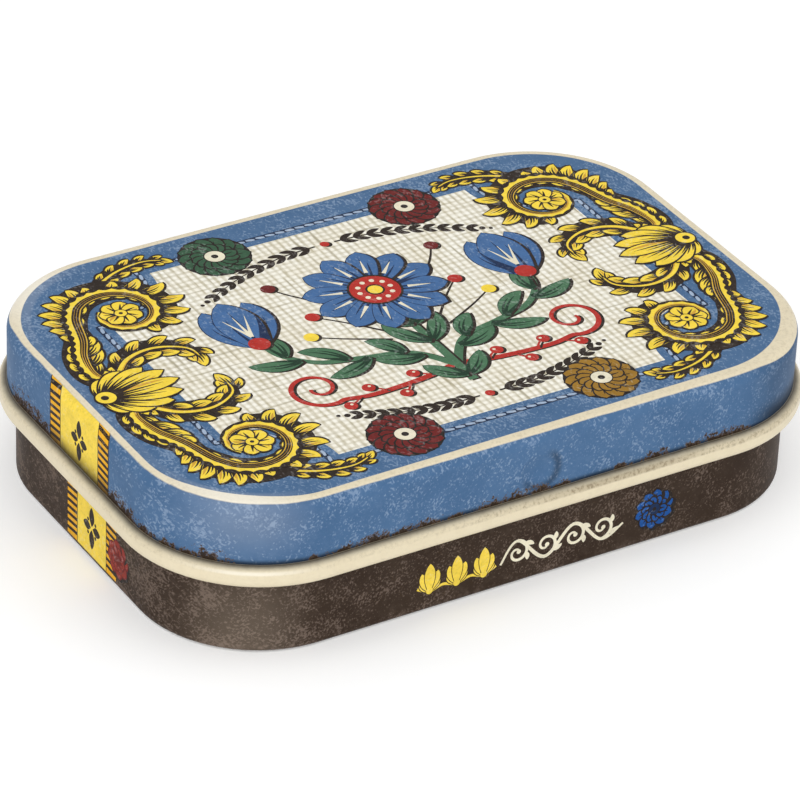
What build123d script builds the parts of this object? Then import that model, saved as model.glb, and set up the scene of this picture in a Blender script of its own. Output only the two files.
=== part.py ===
# Pocket pastille tin: a drawn base tray, and a lid that turns on two tongues bent through the tray's
# back wall. Millimetres. The origin is the middle of the underside, +X runs along the tin, -Y is the
# front, +Y is the hinge side and +Z is up.
import os
from math import asin, cos, degrees, radians, sin, sqrt

from build123d import *

os.makedirs("parts", exist_ok=True)

# Tinplate and clearances
sheet = 0.22            # thickness of the tinplate
side_gap = 0.46         # between the lid's skirt and the base's wall, all round
turn_gap = 0.09         # around each tongue as it turns in its slot
stop_gap = 0.05         # left between the lid's rolled edge and the back wall when fully open
pass_gap = 0.12         # left between the lid's skirt and the base's rim as the front swings past
lid_seat_gap = 0.30     # least room between the base's rim and the lid's top panel

# Lid
lid_length = 58.6       # over the skirt, along X
lid_width = 40.0        # over the skirt, along Y
lid_corner = 10.8       # radius of the skirt's corners in plan
lid_top = 13.7          # height of the closed tin
top_edge = 0.9          # radius that turns the top panel down into the skirt
curl_low = 6.67         # underside of the lid's rolled edge
curl_height = 1.86      # the rolled edge, from its underside to its upper crease
curl_reach = 0.7        # how far the rolled edge stands out of the skirt
curl_round = 0.68       # radius of the rolled edge's outer corners
curl_heel = 0.16        # radius where the skirt turns out into the rolled edge
snap_height = 10.5      # centre of the round dent in the front of the skirt
snap_radius = 1.5
snap_depth = 0.26

# Base
base_edge = 0.5         # radius between the underside and the wall
hem_gap = 0.36          # space inside the rim, where the sheet is folded in and down
hem_depth = 1.3         # height of the folded rim
hem_round = 0.38        # radius over the top of the folded rim

# Hinge
open_angle = 105.0      # degrees, where the lid's rolled edge meets the back wall
hinge_spacing = 28.0    # between the middles of the two tongues
tongue_width = 8.0
tongue_wrap = 145.0     # degrees that each tongue bends under its slot's upper edge
relief = 0.4            # slit on each side of a tongue
slot_side_gap = 0.3     # between a tongue's side and the end of its slot

# Worked out from the sizes above
base_inset = sheet + side_gap
hem_width = 2 * sheet + hem_gap
hinge_y = lid_width / 2 - base_inset - sheet / 2
tongue_inside = sheet / 2 + side_gap
tongue_outside = tongue_inside + sheet
opened = radians(open_angle)
round_centre = tongue_outside + curl_reach - curl_round
hinge_drop = (sheet / 2 + stop_gap + curl_round - round_centre * cos(opened)) / sin(opened) - curl_round
hinge_z = curl_low - hinge_drop
swing = hinge_y + lid_width / 2 - sheet
rim_swing = sqrt(hinge_drop**2 + swing**2 - (swing - side_gap + pass_gap) ** 2)
rim_top = min(hinge_z + rim_swing, lid_top - sheet - lid_seat_gap)
slot_high = hinge_z - tongue_inside + turn_gap
slot_low = hinge_z - (tongue_outside - sheet / 2 * cos(opened)) / sin(opened) - turn_gap
hinge_places = (-hinge_spacing / 2, hinge_spacing / 2)


def outline(grow):
    # The skirt's outline in plan, moved out by grow
    RectangleRounded(lid_length + 2 * grow, lid_width + 2 * grow, lid_corner + grow)


def block(grow, low, high, low_round=0, high_round=0):
    # The full outline from one height to another, its lower and upper edges rounded
    with BuildPart() as solid:
        with BuildSketch(Plane.XY.offset(low)):
            outline(grow)
        extrude(amount=high - low)
        if low_round:
            fillet(solid.faces().sort_by(Axis.Z)[0].edges(), low_round)
        if high_round:
            fillet(solid.faces().sort_by(Axis.Z)[-1].edges(), high_round)
    return solid.part


def band(grow_in, grow_out, low, high, rounding=0):
    # A band round the tin between two such outlines, its outer edges rounded
    with BuildPart() as ring:
        add(block(grow_out, low, high, rounding, rounding))
        add(block(grow_in, low, high), mode=Mode.SUBTRACT)
    return ring.part


def snap_dish(face_y, ball):
    # The solid of a shallow dish of the given ball radius, pressed in through the plane y = face_y
    middle = face_y + snap_depth - ball
    spread = degrees(asin(sqrt(ball**2 - (ball - snap_depth) ** 2) / ball))
    with BuildPart() as dish:
        with BuildSketch(Plane.YZ):
            with BuildLine():
                hollow = CenterArc((middle, snap_height), ball, 0, spread)
                Polyline(hollow @ 1, (face_y, snap_height), hollow @ 0)
            make_face()
        revolve(axis=Axis((0, 0, snap_height), (0, 1, 0)))
    return dish.part


curl_top = curl_low + curl_height
rolled_edge = band(-sheet, curl_reach, curl_low, curl_top, curl_round)
rolled_space = band(0, curl_reach - sheet, curl_low + sheet, curl_top - sheet, curl_round - sheet)
snap_ball = (snap_radius**2 + snap_depth**2) / (2 * snap_depth)

with BuildPart() as lid:
    # Top panel and skirt, hollow from below
    add(block(0, curl_low, lid_top, high_round=top_edge))
    lid_space = block(-sheet, curl_low, lid_top - sheet, high_round=top_edge - sheet)
    add(lid_space, mode=Mode.SUBTRACT)
    # Rolled lower edge
    add(rolled_edge)
    add(rolled_space, mode=Mode.SUBTRACT)
    fillet(lid.faces().sort_by(Axis.Z)[0].inner_wires()[0].edges(), curl_heel)
    # Dent in the front that holds the lid shut
    add(snap_dish(sheet - lid_width / 2, snap_ball + sheet))
    add(snap_dish(-lid_width / 2, snap_ball), mode=Mode.SUBTRACT)
    # Hinge tongues: the roll is cut away, and the skirt runs on down and in through the slot
    for x in hinge_places:
        with Locations((x, lid_width / 2, curl_low)):
            notch = (tongue_width + 2 * relief, 2 * curl_reach, curl_height)
            Box(*notch, align=(Align.CENTER, Align.MIN, Align.MIN), mode=Mode.SUBTRACT)
        with Locations(
            (x - (tongue_width + relief) / 2, lid_width / 2 - sheet / 2, curl_low),
            (x + (tongue_width + relief) / 2, lid_width / 2 - sheet / 2, curl_low),
        ):
            slit = (relief, 3 * sheet, curl_height)
            Box(*slit, align=(Align.CENTER, Align.CENTER, Align.MIN), mode=Mode.SUBTRACT)
        with BuildSketch(Plane.YZ.offset(x)):
            with BuildLine():
                outer = CenterArc((hinge_y, hinge_z), tongue_outside, 0, -tongue_wrap)
                inner = CenterArc((hinge_y, hinge_z), tongue_inside, 0, -tongue_wrap)
                Line(outer @ 1, inner @ 1)
                strip_top = ((lid_width / 2, curl_top), (lid_width / 2 - sheet, curl_top))
                Polyline(outer @ 0, *strip_top, inner @ 0)
            make_face()
        extrude(amount=tongue_width / 2, both=True)

with BuildPart() as base:
    # Drawn tray, its rim folded in and down
    add(block(-base_inset, 0, rim_top, base_edge, hem_round))
    hem_low = rim_top - hem_depth
    tray_space = block(-base_inset - sheet, sheet, hem_low, low_round=base_edge - sheet)
    add(tray_space, mode=Mode.SUBTRACT)
    add(block(-base_inset - hem_width, hem_low, rim_top), mode=Mode.SUBTRACT)
    fillet(base.faces().sort_by(Axis.Z)[-1].inner_wires()[0].edges(), hem_round)
    fold = band(sheet - base_inset - hem_width, -base_inset - sheet, hem_low, rim_top - sheet)
    add(fold, mode=Mode.SUBTRACT)
    # Slots for the hinge tongues
    with Locations(*[(x, hinge_y, slot_low) for x in hinge_places]):
        slot = (tongue_width + 2 * slot_side_gap, 4 * sheet, slot_high - slot_low)
        Box(*slot, align=(Align.CENTER, Align.CENTER, Align.MIN), mode=Mode.SUBTRACT)

for name, piece in (("lid", lid), ("base", base)):
    piece.part.label = name
    export_step(piece.part, f"parts/{name}.step")

print("hinge axis", round(hinge_y, 4), round(hinge_z, 4), "rim top", round(rim_top, 4))
print("slots", round(slot_low, 4), round(slot_high, 4))
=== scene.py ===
import math

import bmesh
import bpy
from mathutils import Matrix, Vector


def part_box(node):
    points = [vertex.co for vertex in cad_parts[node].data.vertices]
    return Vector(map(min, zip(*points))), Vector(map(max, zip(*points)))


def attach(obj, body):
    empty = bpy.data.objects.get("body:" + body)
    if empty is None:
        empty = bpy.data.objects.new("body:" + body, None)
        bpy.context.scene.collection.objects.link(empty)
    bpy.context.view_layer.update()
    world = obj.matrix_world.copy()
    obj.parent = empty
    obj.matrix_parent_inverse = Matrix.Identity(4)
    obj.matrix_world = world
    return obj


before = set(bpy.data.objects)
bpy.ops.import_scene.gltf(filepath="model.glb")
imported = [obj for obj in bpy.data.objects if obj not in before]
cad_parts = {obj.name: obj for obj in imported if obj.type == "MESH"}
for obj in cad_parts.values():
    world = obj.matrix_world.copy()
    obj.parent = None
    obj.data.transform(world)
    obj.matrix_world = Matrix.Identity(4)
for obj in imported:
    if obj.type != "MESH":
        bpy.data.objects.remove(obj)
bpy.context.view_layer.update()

# Pocket pastille tin, printed. The tin's own sizes are in millimetres and become metres with mm.
mm = 0.001
lidLow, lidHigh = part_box("lid")
baseLow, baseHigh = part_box("base")

tin = {
    "sheet": 0.22,          # thickness of the tinplate
    "topEdge": 0.9,         # radius from the lid's top panel to its skirt
    "corner": 10.8,         # radius of the skirt's corners in plan
    "baseCorner": 10.12,    # and of the base's
    "curlReach": 0.7,       # the lid's rolled edge, out of the skirt
    "curlTop": 8.53,        # height of the crease over the rolled edge
}
tin["halfLength"] = lidHigh.x / mm - tin["curlReach"]
tin["halfWidth"] = -lidLow.y / mm - tin["curlReach"]
tin["top"] = lidHigh.z / mm
tin["baseHalfLength"] = baseHigh.x / mm
tin["baseHalfWidth"] = -baseLow.y / mm
tin["rim"] = baseHigh.z / mm


def colour(red, green, blue):
    # A paint colour as read on a screen, 0 to 255, in Blender's own linear values
    def linear(value):
        value /= 255
        return value / 12.92 if value <= 0.04045 else ((value + 0.055) / 1.055) ** 2.4

    return (linear(red), linear(green), linear(blue), 1.0)


def addObject(name, data):
    made = bpy.data.objects.new(name, data)
    bpy.context.scene.collection.objects.link(made)
    return made


class Wire:
    # One output of a node, with plain arithmetic on it
    def __init__(self, nodes, socket):
        self.nodes, self.socket = nodes, socket

    def maths(self, operation, *values):
        return self.nodes.node("ShaderNodeMath", {"operation": operation}, dict(enumerate(values)))

    def sign(operation):
        # The two methods of one sign of arithmetic: with the wire on its left, and on its right
        return (lambda wire, other: wire.maths(operation, wire, other),
                lambda wire, other: wire.maths(operation, other, wire))

    __add__, __radd__ = sign("ADD")
    __sub__, __rsub__ = sign("SUBTRACT")
    __mul__, __rmul__ = sign("MULTIPLY")
    __truediv__, __rtruediv__ = sign("DIVIDE")
    __pow__, __rpow__ = sign("POWER")

    def __abs__(self):
        return self.maths("ABSOLUTE", self)

    def fraction(self):
        return self.maths("FRACT", self)

    def most(self, other):
        return self.maths("MAXIMUM", self, other)

    def least(self, other):
        return self.maths("MINIMUM", self, other)

    def fade(self, low, high):
        # 0 at low, 1 at high, smooth between; low may be the larger
        return self.nodes.node("ShaderNodeMapRange", {"interpolation_type": "SMOOTHSTEP"},
                               {"Value": self, "From Min": low, "From Max": high})


class Nodes:
    # The nodes of one material or world, all made by one method
    def __init__(self, owner):
        owner.use_nodes = True
        self.owner, self.tree = owner, owner.node_tree
        self.tree.nodes.clear()

    def node(self, kind, settings=None, values=None, out=0):
        made = self.tree.nodes.new(kind)
        for name, value in (settings or {}).items():
            setattr(made, name, value)
        for key, value in (values or {}).items():
            self.feed(made.inputs[key], value)
        return Wire(self, made.outputs[out]) if made.outputs else None

    def feed(self, socket, value):
        if isinstance(value, Wire):
            self.tree.links.new(value.socket, socket)
        else:
            socket.default_value = value


class Paint(Nodes):
    # A material of one Principled shader, with the patterns that its finish is made of
    reliefStrength = 0.3
    reliefDepth = 0.02      # in mm

    def __init__(self, name):
        super().__init__(bpy.data.materials.new(name))

    def place(self):
        # The point on the part, in millimetres
        found = self.node("ShaderNodeTexCoord", out="Object")
        return self.node("ShaderNodeVectorMath", {"operation": "SCALE"}, {0: found, "Scale": 1 / mm})

    def split(self, vector):
        apart = self.node("ShaderNodeSeparateXYZ", values={0: vector})
        return [Wire(self, socket) for socket in apart.socket.node.outputs]

    def distance(self, vector, point):
        return self.node("ShaderNodeVectorMath", {"operation": "DISTANCE"}, {0: vector, 1: point}, "Value")

    def turned(self, vector, turn, stretch):
        # The same place turned and stretched, for strokes that lie one way
        angles = [math.radians(angle) for angle in turn]
        return self.node("ShaderNodeMapping", {"vector_type": "TEXTURE"},
                         {"Vector": vector, "Rotation": angles, "Scale": stretch})

    def noise(self, vector, scale, detail=2.0, roughness=0.5):
        return self.node("ShaderNodeTexNoise", values={
            "Vector": vector, "Scale": scale, "Detail": detail, "Roughness": roughness})

    def mix(self, factor, first, second):
        # Sockets 6 and 7 are the Mix node's two colours, and its output 2 is the colour between them
        return self.node("ShaderNodeMix", {"data_type": "RGBA"}, {0: factor, 6: first, 7: second}, 2)

    def finish(self, sockets, relief):
        normal = self.node("ShaderNodeBump", values={
            "Strength": self.reliefStrength, "Distance": self.reliefDepth * mm, "Height": relief})
        shader = self.node("ShaderNodeBsdfPrincipled", values={
            "Specular IOR Level": ground["gloss"], **sockets, "Normal": normal})
        self.node("ShaderNodeOutputMaterial", values={"Surface": shader})
        return self.owner


# What a user would change in the printed grounds
ground = {
    "blue": colour(77, 109, 146),
    "blueDeep": colour(70, 102, 139),
    "blueWorn": colour(142, 163, 190),
    # Painted highlight colour of the blue at the left corners
    "blueSheen": colour(205, 208, 214),
    # Also the colour of the painted shade in the crease, round the dent and over the front right corner
    "navy": colour(30, 40, 54),
    "cream": colour(230, 218, 189),
    "creamShade": colour(214, 200, 168),
    "creamGrain": colour(150, 136, 110),
    # Painted highlight colour of the cream at the left corners
    "creamSheen": colour(252, 249, 240),
    "brown": colour(60, 48, 39),
    "brownDeep": colour(53, 41, 33),
    "brownWorn": colour(136, 119, 108),
    # Painted highlight colour of the brown at the left corners
    "brownSheen": colour(208, 190, 170),
    # Painted shade colour at the lid's crease
    "creaseShade": colour(42, 36, 32),
    "rust": colour(52, 40, 28),
    "rustEdge": colour(104, 82, 60),
    "tin": colour(206, 205, 201),
    "tinDull": colour(188, 186, 181),
    "gloss": 0.06,          # how strongly the inks mirror
    "rough": 0.48,
    "wornRough": 0.12,      # how much rougher a pale fleck is
    "wornRelief": -0.3,     # and how far it lies below the ink
    "varnish": 0.5,         # clear coat over the cream
    "varnishRough": 0.34,
}

# Edges between printed and bare sheet run along the middle of its thickness, this soft, in mm
halfSheet, softEdge = tin["sheet"] / 2, 0.01

# Painted highlight on the left corners, a sheen such as a lamp would give: across each as shares of its
# radius, then in mm how far in over the top and how far to the left
sheenLook = {"begin": (0.0, 0.5), "end": (1.0, 0.62), "inside": (-2.1, -1.7), "left": (8.0, -8.0)}


def outlineGap(paint, place, halfLength, halfWidth, corner):
    # How far a point lies outside the tin's rounded outline in plan, in mm, and its share of painted
    # highlight
    x, y, z = paint.split(place)
    overX = abs(x) - (halfLength - corner)
    overY = abs(y) - (halfWidth - corner)
    reachX, reachY = overX.most(0.0), overY.most(0.0)
    gap = (reachX * reachX + reachY * reachY) ** 0.5 + overX.most(overY).least(0.0) - corner
    across = overX / corner
    paintedSheen = across.fade(*sheenLook["begin"]) * across.fade(*sheenLook["end"])
    return gap, paintedSheen * gap.fade(*sheenLook["inside"]) * x.fade(*sheenLook["left"])


# Soft pale flecks, as on a print aged by design
fleckLook = {
    "patches": 0.40,        # scale of the clumps that they gather in
    "ways": ((2.6, (38, 33, 41)), (2.9, (-35, 40, -38))),     # scale and slant of each kind, in degrees
    "stretch": (0.6, 1.6, 0.8),
    "level": (0.57, 0.80),
    "mottle": 0.16,         # a faint even mottle under them
}


def wornFlecks(paint, place, amount, clumps=0.6, fine=1.0):
    level = None
    for scale, slant in fleckLook["ways"]:
        chips = paint.noise(paint.turned(place, slant, fleckLook["stretch"]), scale * fine, 1.0, 0.4)
        level = chips if level is None else level.most(chips)
    patches = paint.noise(place, fleckLook["patches"], 2.0, 0.6)
    level = level + (patches - 0.5) * clumps + amount
    mottle = paint.noise(place, 1.3, 5.0, 0.75).fade(0.46, 0.72)
    return level.fade(*fleckLook["level"]).most(mottle * fleckLook["mottle"])


def slowChange(paint, place, scale):
    # A cloudy change from 0 to 1 over some millimetres
    return paint.noise(place, scale, 3.0, 0.6).fade(0.3, 0.7)


tinplate = {"lines": (9.0, 0.14, 0.5), "scratches": (5.0, 0.10, 5.0), "scratchTurn": 24, "rough": 0.25}


def bareTin(paint, place):
    # Unprinted tinplate: silver with fine drawing lines, a few scratches and a faint cloud of tarnish
    cloud = paint.noise(place, 0.10, 2.0, 0.5)
    lines = paint.noise(paint.turned(place, (0, 0, 0), tinplate["lines"]), 1.0, 3.0, 0.6)
    drawn = paint.turned(place, (0, 0, tinplate["scratchTurn"]), tinplate["scratches"])
    scratches = paint.noise(drawn, 1.0, 1.0, 0.4).fade(0.62, 0.70)
    dull = cloud.fade(0.3, 0.7) * 0.4 + lines.fade(0.3, 0.7) * 0.6
    rough = tinplate["rough"] + 0.12 * lines + 0.04 * cloud + 0.10 * scratches
    return paint.mix(dull, ground["tin"], ground["tinDull"]), rough, (lines - scratches) * 0.4


def sheetFinish(paint, place, outside, printed, dull, relief, coat):
    # The print on the outside of a pressing and bare tinplate on its inside
    tint, rough, lines = bareTin(paint, place)
    inside = 1.0 - outside
    return paint.finish({
        "Base Color": paint.mix(outside, tint, printed),
        "Metallic": inside,
        "Roughness": rough * inside + dull * outside,
        **coat,
    }, relief * outside + lines * inside)


# Snap dent in the middle of the lid's front, the ball that would fill it, and painted shade in a ring by it
dent = {"height": 10.5, "radius": 1.5, "depth": 0.26, "ring": (0.35, 0.05), "ringWidth": 0.6}
dent["ball"] = (dent["radius"] ** 2 + dent["depth"] ** 2) / (2 * dent["depth"])
dent["ballMiddle"] = (0.0, dent["depth"] - dent["ball"] - tin["halfWidth"], dent["height"])
dent["ringMiddle"] = (dent["ring"][0], -tin["halfWidth"], dent["height"] + dent["ring"][1])


def lidOutside(paint, place, gap):
    # 1 on the outside of the pressing, from the distance to the line that its top edge turns about
    x, y, z = paint.split(place)
    edge = tin["topEdge"]
    inward = (gap + edge).most(0.0)
    upward = (z - (tin["top"] - edge)).most(0.0)
    skin = edge - halfSheet
    outside = ((inward * inward + upward * upward) ** 0.5).fade(skin - softEdge, skin + softEdge)
    hollow = paint.distance(place, dent["ballMiddle"])
    ball = dent["ball"] + halfSheet
    return outside.most(hollow.fade(ball, ball - softEdge))


# The cream band round the lid's top, in mm. It isn't printed quite in the middle.
bandLook = {
    "low": (-0.13, -0.07),      # height of its lower edge, from the top
    "inner": (-1.17, -1.10),    # its inner edge, from the skirt's outline
    "waver": 0.06,              # how much its edges stray
    "slip": 0.38,               # how far it slips over the edge at the right and the back
    "left": 0.04,               # how much higher its lower edge lies on the left
    "front": 0.20,              # how much wider it is along the front
    "frontLean": 0.012,         # and wider still for each mm to the right
    "corner": 0.55,             # and where the painted highlight lies on the front left corner
    # Where each of these comes in: along X the first two, along Y the others
    "toRight": (20.0, 26.0),
    "toLeft": (-20.0, -28.0),
    "toBack": (11.0, 16.0),
    "toFront": (-9.0, -18.0),
    "toCorner": (-8.0, -14.0),
}


def creamBand(paint, place, gap, paintedSheen):
    x, y, z = paint.split(place)
    waver = (paint.noise(place, 0.5) - 0.5) * bandLook["waver"]
    slip = x.fade(*bandLook["toRight"]).most(y.fade(*bandLook["toBack"])) * bandLook["slip"]
    low = z - tin["top"] + waver + slip - x.fade(*bandLook["toLeft"]) * bandLook["left"]
    front = y.fade(*bandLook["toFront"]) * (bandLook["front"] + x * bandLook["frontLean"])
    inner = gap + waver + front + paintedSheen * y.fade(*bandLook["toCorner"]) * bandLook["corner"]
    return low.fade(*bandLook["low"]) * inner.fade(*bandLook["inner"])


# How strongly each mark shows on the lid's blue
blueLook = {
    "flecks": 0.62,
    "fine": 1.22,           # more makes the flecks smaller
    "topFlecks": 0.05,      # how many more lie on the top
    # Painted highlight at the left corners, strongest high up on the skirt
    "sheenShare": 0.15,
    # Painted shade in the crease
    "crease": 0.92,
    # Painted shade round the dent
    "ring": 0.62,
    "cornerShade": 0.30,          # painted shade over the front right corner
    "cornerShadeLow": 0.62,       # and more of it low down
    # Where each comes in, in mm: heights of the tin, and of the corner shade also along X, Y and into the
    # outline
    "topAt": (13.2, 13.6),
    "sheenAt": (8.0, 12.4),
    "creaseAt": (0.55, 0.05),       # painted shade over the crease
    "cornerShadeAt": ((18.5, 23.0), (-4.0, -12.0), (-1.0, -0.3)),
    "cornerShadeLowAt": (10.6, 8.7),
}


def blueGround(paint, place, gap, paintedSheen, height):
    # Blue with a slow change of depth and pale wear, and painted shade nearly black in the crease
    x, y, z = paint.split(place)
    blue = paint.mix(slowChange(paint, place, 0.22), ground["blue"], ground["blueDeep"])
    more = z.fade(*blueLook["topAt"]) * blueLook["topFlecks"]
    flecks = wornFlecks(paint, place, more, fine=blueLook["fine"])
    blue = paint.mix(flecks * blueLook["flecks"], blue, ground["blueWorn"])
    # Painted highlight at the left corners
    blue = paint.mix(paintedSheen * z.fade(*blueLook["sheenAt"]) * blueLook["sheenShare"], blue, ground["blueSheen"])
    # Painted shade lies along the lower right half of the dent's ring
    ring = abs(paint.distance(place, dent["ringMiddle"]) - dent["radius"] - 0.1)
    dentShade = ring.fade(dent["ringWidth"], 0.0) * (x - z).fade(-11.6, -9.6) * y.fade(-19.0, -19.5)
    crease = (height.fade(*blueLook["creaseAt"]) ** 1.2).most(dentShade * blueLook["ring"])
    # Painted shade over the front right corner, more of it low down
    right, front, out = (level.fade(*at) for level, at in zip((x, y, gap), blueLook["cornerShadeAt"]))
    cornerShadeLow = z.fade(*blueLook["cornerShadeLowAt"]) * blueLook["cornerShadeLow"]
    cornerShade = right * front * out * (blueLook["cornerShade"] + cornerShadeLow)
    return paint.mix((crease * blueLook["crease"]).most(cornerShade), blue, ground["navy"]), flecks


# Where rust has crept up from the crease over the rolled edge: place in plan and size, in mm
rustSpots = (
    (-29.3, 8.6, 2.9), (-29.3, 5.9, 2.5), (-29.3, -6.4, 2.2), (-29.3, -7.9, 2.3), (-29.1, -11.0, 1.2),
    (-28.4, -13.4, 1.2), (-27.8, -14.7, 1.1), (-26.6, -16.3, 1.9), (-19.5, -19.9, 0.9), (-17.0, -20.0, 1.3),
    (-14.3, -20.0, 1.6), (-12.0, -20.0, 1.2), (-9.6, -20.0, 1.4), (-7.0, -20.0, 0.9), (-4.0, -20.0, 1.4),
    (-2.0, -20.0, 1.6), (0.4, -20.0, 1.3), (2.4, -20.0, 0.9), (7.8, -20.0, 1.0), (11.1, -20.0, 1.4),
    (14.4, -20.0, 1.0), (16.8, -20.0, 1.7), (18.4, -20.0, 1.4), (29.3, -3.0, 2.0), (28.1, 13.9, 1.8),
    (5.0, 20.0, 2.0), (-22.0, 19.2, 1.9),
)
rustLook = {
    "squat": (0.7, 1.35),   # each spot lies flat along the crease: its squeeze along and upwards
    "ragged": 2.7,          # how much the spots break up, coarse and fine
    "fine": 1.5,
    "level": (0.42, 0.54),
    "shows": 0.95,
}


def rustNear(paint, place, height):
    # 1 in the middle of each spot of rust, falling to 0 at its edge
    along, up = rustLook["squat"]
    x, y, z = paint.split(place)
    squat = paint.node("ShaderNodeCombineXYZ", values={0: x * along, 1: y * along, 2: height * up})
    near = None
    for spotX, spotY, size in rustSpots:
        spot = 1.0 - paint.distance(squat, (spotX * along, spotY * along, 0.0)) / size
        near = spot if near is None else near.most(spot)
    return near.most(0.0)


def overRust(paint, place, height, ragged, blue):
    # Rust in broken spots that creep up from the crease, paler at their edges
    near = rustNear(paint, place, height)
    fine = paint.noise(place, 5.0, 3.0, 0.6)
    broken = (ragged - 0.5) * rustLook["ragged"] + (fine - 0.5) * rustLook["fine"]
    spread = near + near.fade(0.0, 0.15) * broken
    rust = spread.fade(*rustLook["level"])
    tone = paint.mix(spread.fade(0.45, 0.75), ground["rustEdge"], ground["rust"])
    return paint.mix(rust * rustLook["shows"], blue, tone), rust


# Cream over the rolled edge: heights from the crease, in mm
curlLook = {
    "grainy": ((-0.73, -0.50), (-0.05, -0.29)),     # the sides of its grainy stretch
    "sheenStreak": ((-0.63, -0.47), (-0.21, -0.39)),     # and of a painted highlight streak along it
    # Painted shade over the top of the roll, down from the crease
    "creaseShade": (-0.58, 0.09),
    "line": (-0.035, -0.005),                       # a line of painted shade at the crease
    # Where along the front the grains lie close, and closest: along Y, then twice along X
    "front": (-12.0, -19.0),
    "close": (-16.0, 0.0),
    "closest": ((-2.0, 6.0), (17.0, 11.0)),
}


def creamGround(paint, place, band, curl, paintedSheen, height, ragged):
    # Cream, grainy over the roll, with painted shade where it turns into the crease
    x, y, z = paint.split(place)
    grainy, sheenStreak = (height.fade(*low) * height.fade(*high)
                      for low, high in (curlLook["grainy"], curlLook["sheenStreak"]))
    shade = paint.noise(place, 0.8, 3.0, 0.6).fade(0.35, 0.7)
    cream = paint.mix(shade * 0.2 + curl * 0.2, ground["cream"], ground["creamShade"])
    grain = paint.noise(place, 3.6, 4.0, 0.7).fade(0.44, 0.68)
    front = y.fade(*curlLook["front"])
    # Fewer grains show under the painted highlight
    patchy = (x.fade(*curlLook["close"]) * front).most(0.35) * (1.0 - paintedSheen * 0.8)
    begin, end = curlLook["closest"]
    dense = x.fade(*begin) * x.fade(*end) * front
    specks = grainy * patchy * (0.28 + 0.46 * grain + 0.30 * dense)
    specks = specks + grain * (0.06 + 0.16 * band) + band * 0.06
    cream = paint.mix(specks, cream, ground["creamGrain"])
    # Painted highlight: a pale streak along the roll and a paler band at the left corners
    cream = paint.mix(paintedSheen * (sheenStreak * 0.35 + band * 0.5), cream, ground["creamSheen"])
    # Painted shade over the top of the roll and a dark line at the crease
    creaseShade = (height + (ragged - 0.5) * 0.08).fade(*curlLook["creaseShade"]) ** 3.0
    creaseShade = creaseShade.most(height.fade(*curlLook["line"])) * curl
    return paint.mix(creaseShade, cream, ground["creaseShade"])


def paintLid():
    paint = Paint("lidPrint")
    place = paint.place()
    x, y, z = paint.split(place)
    height = z - tin["curlTop"]
    gap, paintedSheen = outlineGap(paint, place, tin["halfLength"], tin["halfWidth"], tin["corner"])
    outside = lidOutside(paint, place, gap)
    band = creamBand(paint, place, gap, paintedSheen)
    curl = height.fade(softEdge, -softEdge)
    ragged = paint.noise(place, 1.5, 5.0, 0.75)
    blue, flecks = blueGround(paint, place, gap, paintedSheen, height)
    blue, rust = overRust(paint, place, height, ragged, blue)
    cream = creamGround(paint, place, band, curl, paintedSheen, height, ragged)
    pale = band.most(curl)
    relief = flecks * ground["wornRelief"] + rust * 0.6 + paint.noise(place, 1.3) * 0.2
    dull = ground["rough"] + ground["wornRough"] * flecks + 0.2 * rust
    coat = {"Coat Weight": pale * outside * ground["varnish"], "Coat Roughness": ground["varnishRough"]}
    return sheetFinish(paint, place, outside, paint.mix(pale, blue, cream), dull, relief, coat)


# How strongly each mark shows on the base's brown, and along X or Z where it comes in
brownLook = {
    "flecks": 0.48,
    "fine": 1.4,
    "clumps": 0.55,
    "leftFlecks": 0.07,
    "leftAt": (-12.0, -26.0),
    "scuffs": 0.3,
    "scuffsAt": (1.4, 0.2),
    # Painted highlight at the left corners, stronger low down
    "sheenShare": 0.05,
    "sheenLow": 0.07,
    "sheenLowAt": (7.5, 2.0),
    "rimPrint": (0.35, 0.45),       # how far under the rim the print fades out
}


def paintBase():
    paint = Paint("basePrint")
    place = paint.place()
    x, y, z = paint.split(place)
    gap, paintedSheen = outlineGap(paint, place, tin["baseHalfLength"], tin["baseHalfWidth"], tin["baseCorner"])
    # The print ends a little under the rim, and covers the underside
    bare, printed = (tin["rim"] - down for down in brownLook["rimPrint"])
    outside = gap.fade(-halfSheet - softEdge, -halfSheet + softEdge) * z.fade(bare, printed)
    outside = outside.most(z.fade(halfSheet + softEdge, halfSheet - softEdge))
    more = x.fade(*brownLook["leftAt"]) * brownLook["leftFlecks"]
    flecks = wornFlecks(paint, place, more, brownLook["clumps"], brownLook["fine"])
    brown = paint.mix(slowChange(paint, place, 0.25), ground["brown"], ground["brownDeep"])
    brown = paint.mix(flecks * brownLook["flecks"], brown, ground["brownWorn"])
    scuffs = paint.noise(place, 2.2, 4.0, 0.7).fade(0.45, 0.7) * z.fade(*brownLook["scuffsAt"])
    brown = paint.mix(scuffs * brownLook["scuffs"], brown, ground["brownWorn"])
    # Painted highlight at the left corners
    sheenShare = brownLook["sheenShare"] + z.fade(*brownLook["sheenLowAt"]) * brownLook["sheenLow"]
    brown = paint.mix(paintedSheen * sheenShare, brown, ground["brownSheen"])
    dull = ground["rough"] + ground["wornRough"] * flecks
    return sheetFinish(paint, place, outside, brown, dull, flecks * ground["wornRelief"], {})


for nodeName, made in (("lid", paintLid()), ("base", paintBase())):
    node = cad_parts[nodeName]
    node.data.materials.clear()
    node.data.materials.append(made)
print("printed grounds done")


# Drawing on the flat, in millimetres
def pointAt(path, share):
    goal = max(share, 0.0) * (len(path) - 1)
    spot = min(int(goal), len(path) - 2)
    return tuple(a + (b - a) * (goal - spot) for a, b in zip(path[spot], path[spot + 1]))


def heading(path, share):
    # The way a path runs there, in degrees
    spot = min(int(max(share, 0.0) * (len(path) - 1)), len(path) - 2)
    (x, y), (nextX, nextY) = path[spot], path[spot + 1]
    return math.degrees(math.atan2(nextY - y, nextX - x))


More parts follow.
